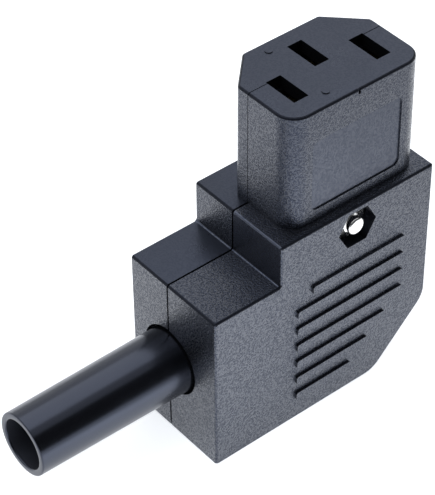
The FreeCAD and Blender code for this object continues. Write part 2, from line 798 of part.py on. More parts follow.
def stepped_tail(contact):
    """Web with a side arm, and a tail that steps past the closing screw to the earth terminal."""
    web = contact.draw("web", XZ, web_face).polygon([
        (-web_half, leaf_foot),
        (earth_tail_right, leaf_foot),
        (earth_tail_right, arm_top),
        (web_half, arm_top),
        (web_half, web_top),
        (-web_half, web_top),
    ])
    contact.add("web", web, S.contact_sheet, REARWARD)
    plate_under = S.earth_tail_level - earth_y
    plate_over = plate_under + S.contact_sheet
    drop = web_face - plate_under
    slant = S.contact_sheet * DIAGONAL
    plate_low = earth_z - S.terminal_height / 2
    plate_high = earth_z + S.terminal_height / 2
    tail = contact.draw("tail", YZ, earth_tail_left).polygon([
        (web_back, arm_top),
        (web_back, leaf_foot - slant),
        (plate_over, leaf_foot - drop - slant),
        (plate_over, plate_high),
        (plate_under, plate_high),
        (plate_under, leaf_foot - drop),
        (web_face, leaf_foot),
        (web_face, arm_top),
    ])
    contact.add("tail", tail, S.earth_tail_width, RIGHT)
    plate = contact.draw("plate", XZ, plate_under).rectangle(
        earth_x - S.terminal_width / 2,
        earth_x + S.terminal_width / 2,
        plate_low,
        plate_high,
    )
    contact.add("plate", plate, S.contact_sheet, REARWARD)
    hole = contact.draw("hole", XZ, plate_under)
    hole.circle(earth_x, earth_z, S.terminal_screw / 2 + S.thread_clearance)
    contact.cut("hole", hole, S.contact_sheet, REARWARD)


def pan_profile(diameter, length, head, head_height):
    """Half section of a screw with a rounded head and a chamfered tip, from its top down to its tip."""
    rim = head / 2
    shank = diameter / 2
    bend = S.head_round * ARC_MIDDLE
    return [
        (0, head_height),
        (rim - S.head_round, head_height),
        (rim - bend, head_height - bend),
        (rim, head_height - S.head_round),
        (rim, 0),
        (shank, 0),
        (shank, S.screw_tip_chamfer - length),
        (shank - S.screw_tip_chamfer, -length),
        (0, -length),
    ]


def cheese_profile(diameter, length, head, head_height):
    """Half section of a screw with a straight head and a cut tip, from its top down to its tip."""
    rim = head / 2
    shank = diameter / 2
    return [(0, head_height), (rim, head_height), (rim, 0), (shank, 0), (shank, -length), (0, -length)]


def make_screw(label, section, head_height):
    """Turn a half section into a screw with a cross recess, its head up from the local XY plane."""
    screw = Piece(label)
    screw.revolve("turned", screw.draw("profile", XZ).polygon(section), "V_Axis")
    arm = S.recess_width / 2
    reach = S.recess_span / 2
    quarter = [(reach, -arm), (reach, arm), (arm, arm)]
    cross = []
    for _ in range(4):
        cross.extend(quarter)
        quarter = [(-up, across) for across, up in quarter]
    recess = screw.draw("recess", XY, head_height).polygon(cross)
    screw.cut("recess", recess, S.recess_depth, DOWN)
    return screw


def make_closing_nut():
    """Hexagon nut with its outer face, chamfered, on the local XY plane."""
    nut = Piece("closing_nut")
    corner = S.nut_flats * HEX_CORNER
    flat = S.nut_flats / 2
    hexagon = nut.draw("hexagon", XY).polygon([
        (corner, 0),
        (corner / 2, flat),
        (-corner / 2, flat),
        (-corner, 0),
        (-corner / 2, -flat),
        (corner / 2, -flat),
    ])
    nut.add("hexagon", hexagon, S.nut_height, UP)
    bore = nut.draw("bore", XY).circle(0, 0, S.screw_diameter / 2 + S.thread_clearance)
    nut.cut("bore", bore, S.nut_height, UP)
    over = corner - flat
    chamfer = nut.draw("chamfer", XZ)
    chamfer.polygon([(flat, 0), (corner + over, 0), (corner + over, over)])
    nut.revolve("chamfer", chamfer, "V_Axis", "Groove")
    return nut


def make_cord_guard():
    """Hollow tapered sleeve with the flange that the shells hold."""
    guard = Piece("cord_guard")
    tip = cord_end - S.guard_reach
    profile = guard.draw("profile", XZ).polygon([
        (tip + S.guard_rim, bore_radius),
        (flange_end, bore_radius),
        (flange_end, flange_radius),
        (inner_end, flange_radius),
        (inner_end, root_radius),
        (cord_end, root_radius),
        (tip + S.guard_rim, tip_radius),
        (tip, tip_radius - S.guard_rim),
        (tip, bore_radius + S.guard_rim),
    ])
    guard.revolve("sleeve", profile)
    return guard


def make_cord_clamp():
    """Arched bar whose feet lie on the two posts of the front shell."""
    clamp = Piece("cord_clamp")
    low = cord_z - clamp_reach
    high = cord_z + clamp_reach
    feet = clamp.draw("feet", YZ, clamp_left).rectangle(0, S.clamp_foot, low, high)
    clamp.add("feet", feet, S.clamp_width, RIGHT)
    arch = clamp.draw("arch", YZ, clamp_left).circle(0, cord_z, arch_radius)
    clamp.add("arch", arch, S.clamp_width, RIGHT)
    way = clamp.draw("way", YZ, clamp_left).circle(0, cord_z, cord_radius)
    clamp.cut("way", way, S.clamp_width, RIGHT)
    under = clamp.draw("under", YZ, clamp_left)
    under.rectangle(-arch_radius - S.clamp_clearance, 0, low, high)
    clamp.cut("under", under, S.clamp_width, RIGHT)
    holes = clamp.draw("holes", XZ)
    for up in clamp_heights:
        holes.circle(clamp_x, up, S.clamp_screw / 2 + S.screw_clearance)
    clamp.cut("holes", holes, S.clamp_foot, REARWARD)
    return clamp


def make_wire_clamp(label):
    """Square plate that clamps a wire to a terminal, its underside on the local XY plane."""
    plate = Piece(label)
    half = S.clamp_plate / 2
    plate.add("plate", plate.draw("plate", XY).rectangle(-half, half, -half, half), S.clamp_plate_sheet, UP)
    hole = plate.draw("hole", XY).circle(0, 0, S.terminal_screw / 2 + S.screw_clearance)
    plate.cut("hole", hole, S.clamp_plate_sheet, UP)
    return plate


def group(label, bodies):
    """Gather identical fasteners in one node as separate solids."""
    gathered = doc.addObject("Part::Compound", label)
    gathered.Label = label
    gathered.Links = bodies
    doc.recompute()
    return gathered


nodes = [make_front_shell().body, make_rear_shell().body]

closing_length = head_level + front_depth - S.screw_tip_sink
closing_section = pan_profile(S.screw_diameter, closing_length, S.head_diameter, S.head_height)
closing_screw = make_screw("closing_screw", closing_section, S.head_height)
nodes.append(closing_screw.put(screw_x, head_level, screw_z, FACING_REAR))
nodes.append(make_closing_nut().put(screw_x, S.nut_sink - front_depth, screw_z, FACING_REAR))
nodes.append(make_cord_guard().put(0, 0, cord_z))
nodes.append(make_cord_clamp().body)

clamp_section = cheese_profile(S.clamp_screw, S.clamp_screw_length, S.clamp_head, S.clamp_head_height)
clamp_screws = []
for index, up in enumerate(clamp_heights, 1):
    screw = make_screw(f"clamp_screw_{index}", clamp_section, S.clamp_head_height)
    clamp_screws.append(screw.put(clamp_x, S.clamp_foot, up, FACING_REAR))
nodes.append(group("clamp_screws", clamp_screws))

nodes.append(make_contact("line_contact", straight_tail).put(-line_x, line_y, 0, HALF_TURN))
nodes.append(make_contact("neutral_contact", straight_tail).put(line_x, line_y, 0, HALF_TURN))
nodes.append(make_contact("earth_contact", stepped_tail).put(0, earth_y, 0))

terminal_section = cheese_profile(
    S.terminal_screw, S.terminal_screw_length, S.terminal_head, S.terminal_head_height
)
terminal_screws = []
for name, (across, up, level) in TERMINALS.items():
    plate_top = level + S.contact_sheet
    nodes.append(make_wire_clamp(name + "_wire_clamp").put(across, plate_top, up, FACING_REAR))
    screw = make_screw(name + "_screw", terminal_section, S.terminal_head_height)
    terminal_screws.append(screw.put(across, plate_top + S.clamp_plate_sheet, up, FACING_REAR))
nodes.append(group("terminal_screws", terminal_screws))

doc.recompute()
failed = [item.Label for item in doc.Objects if {"Invalid", "Error"} & set(item.State)]
if failed:
    raise RuntimeError("failed features: " + ", ".join(failed))
for node in nodes:
    if node.Shape.isNull() or not node.Shape.isValid():
        raise RuntimeError(f"{node.Label} has no valid shape")

os.makedirs("parts", exist_ok=True)
for node in nodes:
    node.Shape.exportStep(f"parts/{node.Label}.step")
    print(f"{node.Label}: {len(node.Shape.Solids)} solid(s), {node.Shape.Volume:.1f} mm3")
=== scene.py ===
import logging
import math
from dataclasses import dataclass
from enum import Enum
from typing import Callable

import bmesh
import bpy
from mathutils import Matrix, Vector


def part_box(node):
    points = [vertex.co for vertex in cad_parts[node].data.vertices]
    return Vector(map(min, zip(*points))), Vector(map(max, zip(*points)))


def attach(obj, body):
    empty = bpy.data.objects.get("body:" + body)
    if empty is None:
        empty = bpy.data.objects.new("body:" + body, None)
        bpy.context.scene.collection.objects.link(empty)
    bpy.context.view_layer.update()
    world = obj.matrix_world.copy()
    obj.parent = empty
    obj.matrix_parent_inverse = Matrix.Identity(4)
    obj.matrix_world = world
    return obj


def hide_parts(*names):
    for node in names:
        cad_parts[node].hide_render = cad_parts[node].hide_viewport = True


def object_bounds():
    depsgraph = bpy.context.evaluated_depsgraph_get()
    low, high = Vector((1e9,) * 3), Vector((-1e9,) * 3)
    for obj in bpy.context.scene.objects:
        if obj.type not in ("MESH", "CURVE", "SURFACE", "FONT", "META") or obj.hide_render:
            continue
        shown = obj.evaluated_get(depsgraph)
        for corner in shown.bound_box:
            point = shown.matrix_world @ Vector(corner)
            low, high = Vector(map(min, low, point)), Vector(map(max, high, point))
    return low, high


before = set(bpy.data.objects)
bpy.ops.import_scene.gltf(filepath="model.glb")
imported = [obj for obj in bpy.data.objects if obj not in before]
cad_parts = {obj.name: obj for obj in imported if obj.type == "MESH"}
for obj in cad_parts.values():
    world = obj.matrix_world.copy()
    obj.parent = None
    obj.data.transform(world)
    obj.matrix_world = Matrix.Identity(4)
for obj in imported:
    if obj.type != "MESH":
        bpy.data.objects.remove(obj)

CAD_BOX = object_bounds()
BODY = "root"
MM = 0.001
FULL_TURN = math.tau
QUARTER_TURN = FULL_TURN / 4
MERGE_WITHIN = 0.002 * MM
SAME_PLACE = 0.001 * MM
log = logging.getLogger("connector")

Colour = tuple[float, float, float]
Triple = tuple[float, float, float]
Mesh = bmesh.types.BMesh
Vert = bmesh.types.BMVert
Edge = bmesh.types.BMEdge
Face = bmesh.types.BMFace
Piece = bpy.types.Object
Socket = bpy.types.NodeSocket


class Slot(str, Enum):
    """Material slots of the record."""

    HOUSING = "housing"
    GUARD = "guard"
    STEEL = "plated_steel"
    MOULDING = "inner_moulding"
    BRASS = "brass"


class Region(Enum):
    """Finishes of the housing, by the order of its material slots; one is painted shade and one painted
    highlight with wear.
    """

    SPARK = 0
    FINE = 1
    SATIN = 2
    PAINTED_SHADE = 3
    RUBBED_AND_HIGHLIT = 4


class Shell(Enum):
    """The two halves of the housing, with the way that each faces along Y."""

    FRONT = ("front_shell", -1)
    REAR = ("rear_shell", 1)


class Axis(Enum):
    """Axes of the part, as places in a point."""

    X = 0
    Y = 1


class Graph:
    """A node tree with short calls to add nodes and to join them."""

    def __init__(self, tree: bpy.types.NodeTree) -> None:
        """Start from an empty tree.

        Args:
            tree: The node tree to fill.
        """
        self.tree = tree
        tree.nodes.clear()

    def add(self, kind: str, settings: dict[str, object] | None = None, **inputs: object) -> bpy.types.Node:
        """Add a node, set its options and feed its inputs.

        Args:
            kind: The node's type name without its ShaderNode prefix.
            settings: Options that are attributes of the node.
            inputs: Values or sockets by input name, with _ for a space.

        Returns:
            The new node.
        """
        node = self.tree.nodes.new("ShaderNode" + kind)
        for name, value in (settings or {}).items():
            setattr(node, name, value)
        for name, value in inputs.items():
            self.feed(node.inputs[name.replace("_", " ")], value)
        return node

    def feed(self, socket: Socket, value: object) -> None:
        """Link a socket to an input, or set the input's own value.

        Args:
            socket: The input.
            value: An output socket, a number, a vector or a colour.
        """
        if isinstance(value, Socket):
            self.tree.links.new(value, socket)
        else:
            socket.default_value = value

    def maths(self, operation: str, first: object, second: object) -> Socket:
        """Add a maths node.

        Args:
            operation: The name of the operation.
            first: The first value or socket.
            second: The second value or socket.

        Returns:
            The socket that holds the result.
        """
        node = self.add("Math", {"operation": operation})
        self.feed(node.inputs[0], first)
        self.feed(node.inputs[1], second)
        return node.outputs[0]

    def spread(self, value: Socket, low: float, high: float, first: float, last: float) -> Socket:
        """Stretch a value from one range to another, clamped.

        Args:
            value: The socket that holds it.
            low: Start of the range that it has.
            high: End of that range.
            first: What the start becomes.
            last: What the end becomes.

        Returns:
            The socket that holds the result.
        """
        node = self.add("MapRange", {"clamp": True}, From_Min=low, From_Max=high, To_Min=first, To_Max=last)
        self.feed(node.inputs["Value"], value)
        return node.outputs["Result"]

    def mask(self, value: Socket, low: float, high: float) -> Socket:
        """A mask that goes from 0 to 1 as a value goes from low to high."""
        return self.spread(value, low, high, 0.0, 1.0)

    def ramp(self, mask: Socket, first: float, last: float) -> Socket:
        """A value that goes from first to last as a mask goes from 0 to 1."""
        return self.spread(mask, 0.0, 1.0, first, last)

    def mix(self, share: Socket, first: object, second: object) -> Socket:
        """Mix two colours.

        Args:
            share: How much of the second one.
            first: The first colour or socket.
            second: The second colour or socket.

        Returns:
            The socket that holds the mixed colour.
        """
        node = self.add("Mix", {"data_type": "RGBA"})
        self.feed(node.inputs["Factor"], share)
        self.feed(node.inputs["A"], first)
        self.feed(node.inputs["B"], second)
        return next(out for out in node.outputs if out.type == "RGBA")


class SurfaceGroup:
    """A shader node group that several finishes share, built once."""

    def __init__(self, name: str, inputs: dict[str, float], outputs: tuple[str, ...]) -> None:
        """Make the group and its sockets.

        Args:
            name: The group's name.
            inputs: Number inputs with their default values.
            outputs: Names of the number outputs.
        """
        self.tree = bpy.data.node_groups.new(name, "ShaderNodeTree")
        face = self.tree.interface
        face.new_socket("Place", in_out="INPUT", socket_type="NodeSocketVector")
        for label, value in inputs.items():
            face.new_socket(label, in_out="INPUT", socket_type="NodeSocketFloat").default_value = value
        for label in outputs:
            face.new_socket(label, in_out="OUTPUT", socket_type="NodeSocketFloat")
        self.graph = Graph(self.tree)
        self.source = self.tree.nodes.new("NodeGroupInput")
        self.sink = self.tree.nodes.new("NodeGroupOutput")

    def take_in(self, name: str) -> Socket:
        """The socket of one of the group's inputs."""
        return self.source.outputs[name]

    def put_out(self, name: str, value: Socket) -> None:
        """Join a socket to one of the group's outputs."""
        self.tree.links.new(value, self.sink.inputs[name])


@dataclass(frozen=True)
class SparkGrain:
    """Grain of a spark-eroded mould: small random pits and crests."""

    usual_grain: float = 3200.0
    pit_scale: float = 0.8
    pit_share: float = 0.5
    crest_low: float = 0.64
    crest_high: float = 0.82
    mottle_scale: float = 190.0

    def build(self) -> bpy.types.NodeTree:
        """Build the node group.

        Returns:
            The group, with a height, a mask of the crests and a slow mottle.
        """
        group = SurfaceGroup("spark_grain", {"Grain": self.usual_grain}, ("Height", "Crest", "Mottle"))
        graph = group.graph
        place = group.take_in("Place")
        grain = group.take_in("Grain")
        crests = graph.add("TexNoise", Vector=place, Scale=grain, Detail=2.0, Roughness=0.65)
        pits = graph.add("TexVoronoi", {"feature": "SMOOTH_F1"}, Vector=place, Smoothness=0.6)
        graph.feed(pits.inputs["Scale"], graph.maths("MULTIPLY", grain, self.pit_scale))
        sunk = graph.maths("MULTIPLY", pits.outputs["Distance"], self.pit_share)
        height = graph.maths("ADD", crests.outputs["Fac"], sunk)
        group.put_out("Height", height)
        group.put_out("Crest", graph.mask(height, self.crest_low, self.crest_high))
        slow = graph.add("TexNoise", Vector=place, Scale=self.mottle_scale, Detail=3.0, Roughness=0.55)
        group.put_out("Mottle", slow.outputs["Fac"])
        return group.tree


@dataclass(frozen=True)
class HandlingMarks:
    """Fine hairline scratches and rubbed patches from handling."""

    usual_turn: float = 0.6
    turn_axis: Triple = (0.3, 0.9, 0.2)
    stretch: Triple = (60.0, 2600.0, 2600.0)
    scratch_low: float = 0.68
    scratch_high: float = 0.78
    rub_scale: float = 85.0
    rub_low: float = 0.42
    rub_high: float = 0.68

    def build(self) -> bpy.types.NodeTree:
        """Build the node group.

        Returns:
            The group, with a scratch mask and a rubbed mask.
        """
        group = SurfaceGroup("handling_marks", {"Turn": self.usual_turn}, ("Scratch", "Rub"))
        graph = group.graph
        place = group.take_in("Place")
        turned = graph.add("VectorRotate", {"rotation_type": "AXIS_ANGLE"}, Vector=place, Axis=self.turn_axis)
        graph.feed(turned.inputs["Angle"], group.take_in("Turn"))
        drawn = graph.add("Mapping", {"vector_type": "POINT"}, Scale=self.stretch)
        graph.feed(drawn.inputs["Vector"], turned.outputs["Vector"])
        streaks = graph.add("TexNoise", Vector=drawn.outputs["Vector"], Scale=1.0, Detail=2.0, Roughness=0.5)
        group.put_out("Scratch", graph.mask(streaks.outputs["Fac"], self.scratch_low, self.scratch_high))
        patches = graph.add("TexNoise", Vector=place, Scale=self.rub_scale, Detail=4.0, Roughness=0.6)
        group.put_out("Rub", graph.mask(patches.outputs["Fac"], self.rub_low, self.rub_high))
        return group.tree


GRAIN = SparkGrain().build()
MARKS = HandlingMarks().build()


class Dressed:
    """A material that is being built round one Principled shader."""

    def __init__(self, name: str) -> None:
        """Make the material with its shader, output and Object coordinates.

        Args:
            name: The material's name.
        """
        self.material = bpy.data.materials.new(name)
        self.material.use_nodes = True
        self.graph = Graph(self.material.node_tree)
        self.shader = self.graph.add("BsdfPrincipled")
        self.graph.add("OutputMaterial", Surface=self.shader.outputs["BSDF"])
        self.place = self.graph.add("TexCoord").outputs["Object"]

    def group(self, tree: bpy.types.NodeTree, **inputs: float) -> bpy.types.Node:
        """Place a shared group on the Object coordinates, with its own values."""
        return self.graph.add("Group", {"node_tree": tree}, Place=self.place, **inputs)

    def set(self, **inputs: object) -> None:
        """Feed the shader's inputs by name, with _ for a space."""
        for name, value in inputs.items():
            self.graph.feed(self.shader.inputs[name.replace("_", " ")], value)

    def bump(self, height: Socket, depth: float, strength: float = 1.0) -> None:
        """Give the shader a bumped normal.

        Args:
            height: The height field, about 0 to 1.
            depth: What a height of 1 stands for, in metres.
            strength: Share of the effect, 0 to 1.
        """
        node = self.graph.add("Bump", Height=height, Distance=depth, Strength=strength)
        self.set(Normal=node.outputs["Normal"])


def opaque(colour: Colour) -> tuple[float, float, float, float]:
    """The colour with full alpha."""
    return (*colour, 1.0)


@dataclass(frozen=True)
class PlasticFinish:
    """Moulded plastic with the grain of its mould, glossier on the crests, whose lighter colour is a painted
    glint.
    """

    name: str
    dark: Colour
    light: Colour
    crest: Colour
    roughness: float
    grain: float
    depth: float
    gloss: float
    crest_coat: float
    sheen: Colour = (0.55, 0.66, 1.0)
    pit_roughness: float = 0.06
    rub_swing: float = 0.03
    scratch_share: float = 0.25

    def material(self) -> bpy.types.Material:
        """Build the finish.

        Returns:
            The material.
        """
        made = Dressed(self.name)
        grain = made.group(GRAIN, Grain=self.grain)
        marks = made.group(MARKS)
        graph = made.graph
        crest = grain.outputs["Crest"]
        tone = graph.mix(grain.outputs["Mottle"], opaque(self.dark), opaque(self.light))
        # The crests are painted a lighter colour: painted glints on the grain, beside the coat's real gloss.
        glint_crested = graph.mix(crest, tone, opaque(self.crest))
        scratched = graph.maths("MULTIPLY", marks.outputs["Scratch"], self.scratch_share)
        made.set(Base_Color=graph.mix(scratched, glint_crested, opaque(self.crest)))
        dullest = self.roughness + self.rub_swing
        rubbed = graph.ramp(marks.outputs["Rub"], dullest, self.roughness - self.rub_swing)
        pits = graph.ramp(crest, self.pit_roughness, -self.pit_roughness)
        made.set(Roughness=graph.maths("ADD", rubbed, pits))
        made.set(Specular_IOR_Level=self.gloss, Specular_Tint=opaque(self.sheen))
        made.set(Coat_Roughness=self.roughness, Coat_Weight=graph.ramp(crest, 0.0, self.crest_coat))
        made.bump(grain.outputs["Height"], self.depth)
        return made.material


@dataclass(frozen=True)
class SleeveFinish:
    """Smooth black sleeve plastic with faint scuffs along its length."""

    name: str
    colour: Colour
    roughness: float
    scuff: Colour = (0.03, 0.03, 0.032)
    scuff_share: float = 0.3
    scuff_turn: float = 0.12
    rub_rise: float = 0.08
    gloss: float = 0.85
    sheen: Colour = (0.66, 0.74, 1.0)
    wave_scale: float = 240.0
    wave_depth: float = 0.02 * MM
    wave_strength: float = 0.5

    def material(self) -> bpy.types.Material:
        """Build the finish.

        Returns:
            The material.
        """
        made = Dressed(self.name)
        marks = made.group(MARKS, Turn=self.scuff_turn)
        graph = made.graph
        scuffed = graph.maths("MULTIPLY", marks.outputs["Scratch"], self.scuff_share)
        made.set(Base_Color=graph.mix(scuffed, opaque(self.colour), opaque(self.scuff)))
        made.set(Roughness=graph.ramp(marks.outputs["Rub"], self.roughness, self.roughness + self.rub_rise))
        made.set(Specular_IOR_Level=self.gloss, Specular_Tint=opaque(self.sheen))
        wave = graph.add("TexNoise", Vector=made.place, Scale=self.wave_scale, Detail=1.0)
        made.bump(wave.outputs["Fac"], self.wave_depth, self.wave_strength)
        return made.material


@dataclass(frozen=True)
class MetalFinish:
    """Plated or rolled metal with turned or drawn fine lines."""

    name: str
    bright: Colour
    dull: Colour
    roughness: float
    lines: Triple
    rub_turn: float = 1.3
    line_low: float = 0.3
    line_high: float = 0.7
    smoother: float = 0.06
    rougher: float = 0.1
    line_depth: float = 0.01 * MM
    line_strength: float = 0.4

    def material(self) -> bpy.types.Material:
        """Build the finish.

        Returns:
            The material.
        """
        made = Dressed(self.name)
        marks = made.group(MARKS, Turn=self.rub_turn)
        graph = made.graph
        drawn = graph.add("Mapping", Vector=made.place, Scale=self.lines)
        fine = graph.add("TexNoise", Vector=drawn.outputs["Vector"], Scale=1.0, Detail=3.0).outputs["Fac"]
        made.set(Base_Color=graph.mix(marks.outputs["Rub"], opaque(self.bright), opaque(self.dull)))
        made.set(Metallic=1.0)
        smoothest = self.roughness - self.smoother
        roughest = self.roughness + self.rougher
        made.set(Roughness=graph.spread(fine, self.line_low, self.line_high, smoothest, roughest))
        made.bump(fine, self.line_depth, self.line_strength)
        return made.material


@dataclass(frozen=True)
class FloorFinish:
    """Pale matt light table, brightest in front of the object."""

    name: str
    colour: Colour
    glow: Colour
    glow_strength: float
    far_share: float
    spot: Triple
    spot_reach: Triple
    roughness: float = 0.8
    gloss: float = 0.2
    cloud_scale: float = 6.0
    cloud_lift: float = 1.01

    def material(self) -> bpy.types.Material:
        """Build the finish.

        Returns:
            The material.
        """
        made = Dressed(self.name)
        graph = made.graph
        spot = graph.add("Mapping", {"vector_type": "TEXTURE"}, Vector=made.place, Location=self.spot)
        graph.feed(spot.inputs["Scale"], self.spot_reach)
        away = graph.add("VectorMath", {"operation": "LENGTH"}, Vector=spot.outputs["Vector"])
        far = tuple(part * self.far_share for part in self.glow)
        share = graph.mask(away.outputs["Value"], 0.0, 1.0)
        made.set(Emission_Color=graph.mix(share, opaque(self.glow), opaque(far)))
        made.set(Emission_Strength=self.glow_strength)
        cloud = graph.add("TexNoise", Vector=made.place, Scale=self.cloud_scale, Detail=2.0)
        paler = tuple(min(1.0, part * self.cloud_lift) for part in self.colour)
        made.set(Base_Color=graph.mix(cloud.outputs["Fac"], opaque(self.colour), opaque(paler)))
        made.set(Roughness=self.roughness, Specular_IOR_Level=self.gloss)
        return made.material


PITCH_BLACK = (0.0026, 0.0028, 0.0035)
BLACK = (0.0042, 0.0045, 0.0055)
DARK_GREY = (0.009, 0.0095, 0.012)
# Lighter grey for grain crests: painted glints.
GLINT_GREY = (0.014, 0.0148, 0.018)
SPARK = PlasticFinish(
    "spark_textured_plastic", dark=PITCH_BLACK, light=BLACK, crest=GLINT_GREY,
    roughness=0.27, grain=4800.0, depth=0.075 * MM, gloss=0.62, crest_coat=0.62,
)
FINE = PlasticFinish(
    "fine_textured_plastic", dark=PITCH_BLACK, light=BLACK, crest=DARK_GREY,
    roughness=0.3, grain=4800.0, depth=0.022 * MM, gloss=0.8, crest_coat=0.36,
)
SATIN = PlasticFinish(
    "satin_plastic", dark=PITCH_BLACK, light=BLACK, crest=BLACK,
    roughness=0.33, grain=4200.0, depth=0.012 * MM, gloss=0.68, crest_coat=0.06,
)
# A darker, duller copy of the housing plastic: painted shade for slot and sink walls and dark edges.
PAINTED_SHADE = PlasticFinish(
    "painted_shade_plastic", dark=PITCH_BLACK, light=BLACK, crest=BLACK,
    roughness=0.45, grain=4200.0, depth=0.01 * MM, gloss=0.25, crest_coat=0.02,
)
# Lighter, glossier plastic for the remaining edges: wear with a painted highlight.
RUBBED_AND_HIGHLIT = PlasticFinish(
    "rubbed_and_highlit_edge_plastic", dark=BLACK, light=DARK_GREY, crest=GLINT_GREY,
    roughness=0.3, grain=4200.0, depth=0.012 * MM, gloss=1.0, crest_coat=0.6,
)
INNER = PlasticFinish(
    "inner_plastic", dark=(0.02, 0.02, 0.022), light=(0.026, 0.026, 0.028), crest=(0.03, 0.03, 0.032),
    roughness=0.5, grain=2600.0, depth=0.01 * MM, gloss=0.5, crest_coat=0.05,
)
SLEEVE = SleeveFinish("glossy_sleeve", colour=(0.0032, 0.0034, 0.0042), roughness=0.21)
# The bore is painted lighter than the sleeve: painted light inside it.
PAINTED_LIGHT_BORE = SleeveFinish("matt_bore_painted_light", colour=(0.02, 0.021, 0.026), roughness=0.5)
ZINC = MetalFinish(
    "bright_zinc", bright=(0.86, 0.86, 0.85), dull=(0.7, 0.7, 0.69),
    roughness=0.2, lines=(900.0, 5200.0, 900.0),
)
BRASS = MetalFinish(
    "rolled_brass", bright=(0.83, 0.64, 0.31), dull=(0.6, 0.44, 0.2),
    roughness=0.3, lines=(4200.0, 4200.0, 500.0),
)
FLOOR = FloorFinish(
    "pale_floor", colour=(0.9, 0.9, 0.9), glow=(0.965, 1.0, 1.045), glow_strength=1.95, far_share=0.285,
    spot=(-20.0 * MM, -40.0 * MM, 0.0), spot_reach=(68.0 * MM, 46.0 * MM, 1.0),
)
HOUSING_MATERIALS = tuple(finish.material() for finish in (SPARK, FINE, SATIN, PAINTED_SHADE, RUBBED_AND_HIGHLIT))
STEEL_MATERIAL = ZINC.material()


def finish_piece(name: str, shape: Mesh, slot: Slot, *nodes: str) -> Piece:
    """Turn a shape into a piece that rides on the housing and stands for CAD nodes.

    Args:
        name: The piece's name.
        shape: Its mesh, in the part's frame. It is freed here.
        slot: The record's slot of its finish; not used.
        nodes: The CAD nodes that it replaces.

    Returns:
        The piece.
    """
    mesh = bpy.data.meshes.new(name)
    shape.to_mesh(mesh)
    shape.free()
    piece = bpy.data.objects.new(name, mesh)
    bpy.context.scene.collection.objects.link(piece)
    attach(piece, BODY)
    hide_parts(*nodes)
    return piece


def copy_of(node: str) -> Mesh:
    """A merged copy of a CAD node's mesh.

    Args:
        node: The node's name.

    Returns:
        The copy, with shared vertices.
    """
    shape = bmesh.new()
    shape.from_mesh(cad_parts[node].data)
    bmesh.ops.remove_doubles(shape, verts=shape.verts, dist=MERGE_WITHIN)
    return shape


def middle_of(node: str) -> Vector:
    """Middle of a CAD node's box."""
    low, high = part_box(node)
    return (Vector(low) + Vector(high)) / 2


def closed_ring(shape: Mesh, points: list[Triple]) -> tuple[list[Vert], list[Edge]]:
    """Draw a closed section, ready to be spun.

    Args:
        shape: The mesh to add to.
        points: The section's corners in order.

    Returns:
        Its vertices and its edges.
    """
    verts = [shape.verts.new(point) for point in points]
    edges = [shape.edges.new((verts[index - 1], verts[index])) for index in range(len(verts))]
    return verts, edges


def edges_at(shape: Mesh, axis: Axis, place: float) -> list[Edge]:
    """Edges that lie in a plane square to an axis.

    Args:
        shape: The mesh.
        axis: The axis.
        place: Where the plane crosses it.

    Returns:
        The edges with both ends in the plane.
    """
    def lies_there(vert: Vert) -> bool:
        """Whether a vertex is in the plane."""
        return abs(vert.co[axis.value] - place) < SAME_PLACE

    return [edge for edge in shape.edges if all(lies_there(vert) for vert in edge.verts)]


def round_edges(shape: Mesh, edges: list[Edge], reach: float, segments: int) -> None:
    """Round some edges of a shape.

    Args:
        shape: The mesh.
        edges: The edges.
        reach: How far the round reaches from each edge.
        segments: How many faces make up the round.
    """
    bmesh.ops.bevel(
        shape, geom=edges, offset=reach, offset_type="OFFSET", segments=segments,
        profile=0.5, affect="EDGES", material=-1,
    )


def smooth_under(shape: Mesh, limit: float) -> None:
    """Shade a shape smooth, with sharp edges where it bends by more than a limit.

    Args:
        shape: The mesh.
        limit: The angle, in degrees.
    """
    for face in shape.faces:
        face.smooth = True
    for edge in shape.edges:
        edge.smooth = len(edge.link_faces) == 2 and edge.calc_face_angle() < math.radians(limit)


def weigh_normals(piece: Piece) -> None:
    """Let broad faces keep their own normals, so that narrow breaks shade as rounds.

    Args:
        piece: The piece.
    """
    weight = piece.modifiers.new("weigh_normals", "WEIGHTED_NORMAL")
    weight.mode = "FACE_AREA"
    weight.keep_sharp = True


